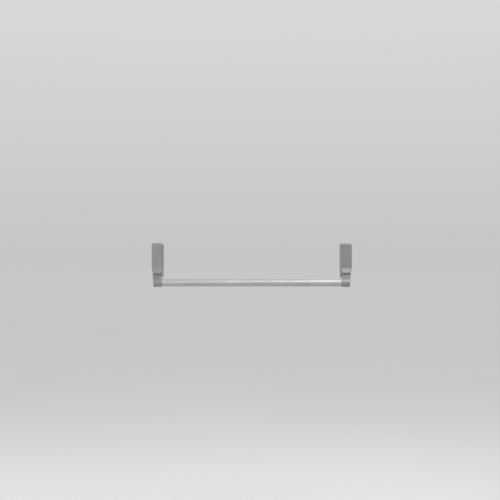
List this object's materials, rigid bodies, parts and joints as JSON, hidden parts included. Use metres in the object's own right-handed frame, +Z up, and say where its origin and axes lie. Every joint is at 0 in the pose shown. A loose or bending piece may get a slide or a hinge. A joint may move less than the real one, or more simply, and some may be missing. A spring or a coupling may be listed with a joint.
{
  "type": "panic exit bar",
  "caption": "Push bar on two cranked levers in door-mounted cases; pressing it lifts a rack that turns a square spindle for a mortice lock.",
  "frame": {"origin": "on the door's face, midway between the two cases, at the height of the square spindle", "axes": "+X along the bar towards the lock side, +Y into the door, +Z up"},
  "size_m": [0.873, 0.1675, 0.1905],
  "materials": {
    "silver_paint": "silver-grey powder coat, satin, fine grain",
    "bar_finish": "silver-painted aluminium tube, satin",
    "chassis_casting": "die-cast, tumbled",
    "plated_steel": "bright zinc plate",
    "black_steel": "black oxide",
    "drive_steel": "sintered steel, oiled",
    "spring_steel": "drawn spring wire",
    "bronze": "sintered bronze",
    "nylon": "natural nylon",
    "black_plastic": "moulded, matt",
    "buffer_rubber": "moulded rubber, matt"
  },
  "bodies": {
    "base": {"chassis_lock": "chassis_casting", "chassis_hinge": "chassis_casting", "cover_lock": "silver_paint", "cover_hinge": "silver_paint", "cover_screws": "plated_steel", "pivot_axle_lock": "plated_steel", "pivot_axle_hinge": "plated_steel", "axle_clips": "black_steel", "rack_spring": "spring_steel", "spring_guide_pin": "plated_steel", "spindle_bush": "bronze", "gear_keeper": "plated_steel", "keeper_screws": "plated_steel", "torsion_spring": "spring_steel", "spring_sleeve": "nylon", "rest_buffers": "buffer_rubber", "press_buffers": "buffer_rubber"},
    "bar_assembly": {"arm_lock": "silver_paint", "arm_hinge": "silver_paint", "push_bar": "bar_finish", "bar_plugs": "black_plastic", "bar_grub_screws": "black_steel", "pivot_bushes": "nylon"},
    "rack": {"drive_rack": "drive_steel"},
    "spindle": {"spindle_gear": "drive_steel", "spindle": "plated_steel", "spindle_grub_screw": "black_steel"}
  },
  "joints": [
    {"name": "push", "type": "hinge", "parent": "base", "child": "bar_assembly", "pos_m": [0, -0.036, -0.05], "axis": [1, 0, 0], "range_deg": [0, 18], "stiffness_Nm_per_rad": 5, "springref_deg": -22.92, "deforming": ["torsion_spring"]},
    {"name": "rack_slide", "type": "slide", "parent": "base", "child": "rack", "axis": [0, 0, 1], "range_m": [0, 0.0071], "deforming": ["rack_spring"]},
    {"name": "spindle_turn", "type": "hinge", "parent": "base", "child": "spindle", "pos_m": [0.4115, 0, 0], "axis": [0, -1, 0], "range_deg": [0, 36.1]}
  ],
  "couplings": [
    {"joint": "rack_slide", "follows": "push", "m_per_rad": 0.0225},
    {"joint": "spindle_turn", "follows": "push", "ratio": 2}
  ]
}
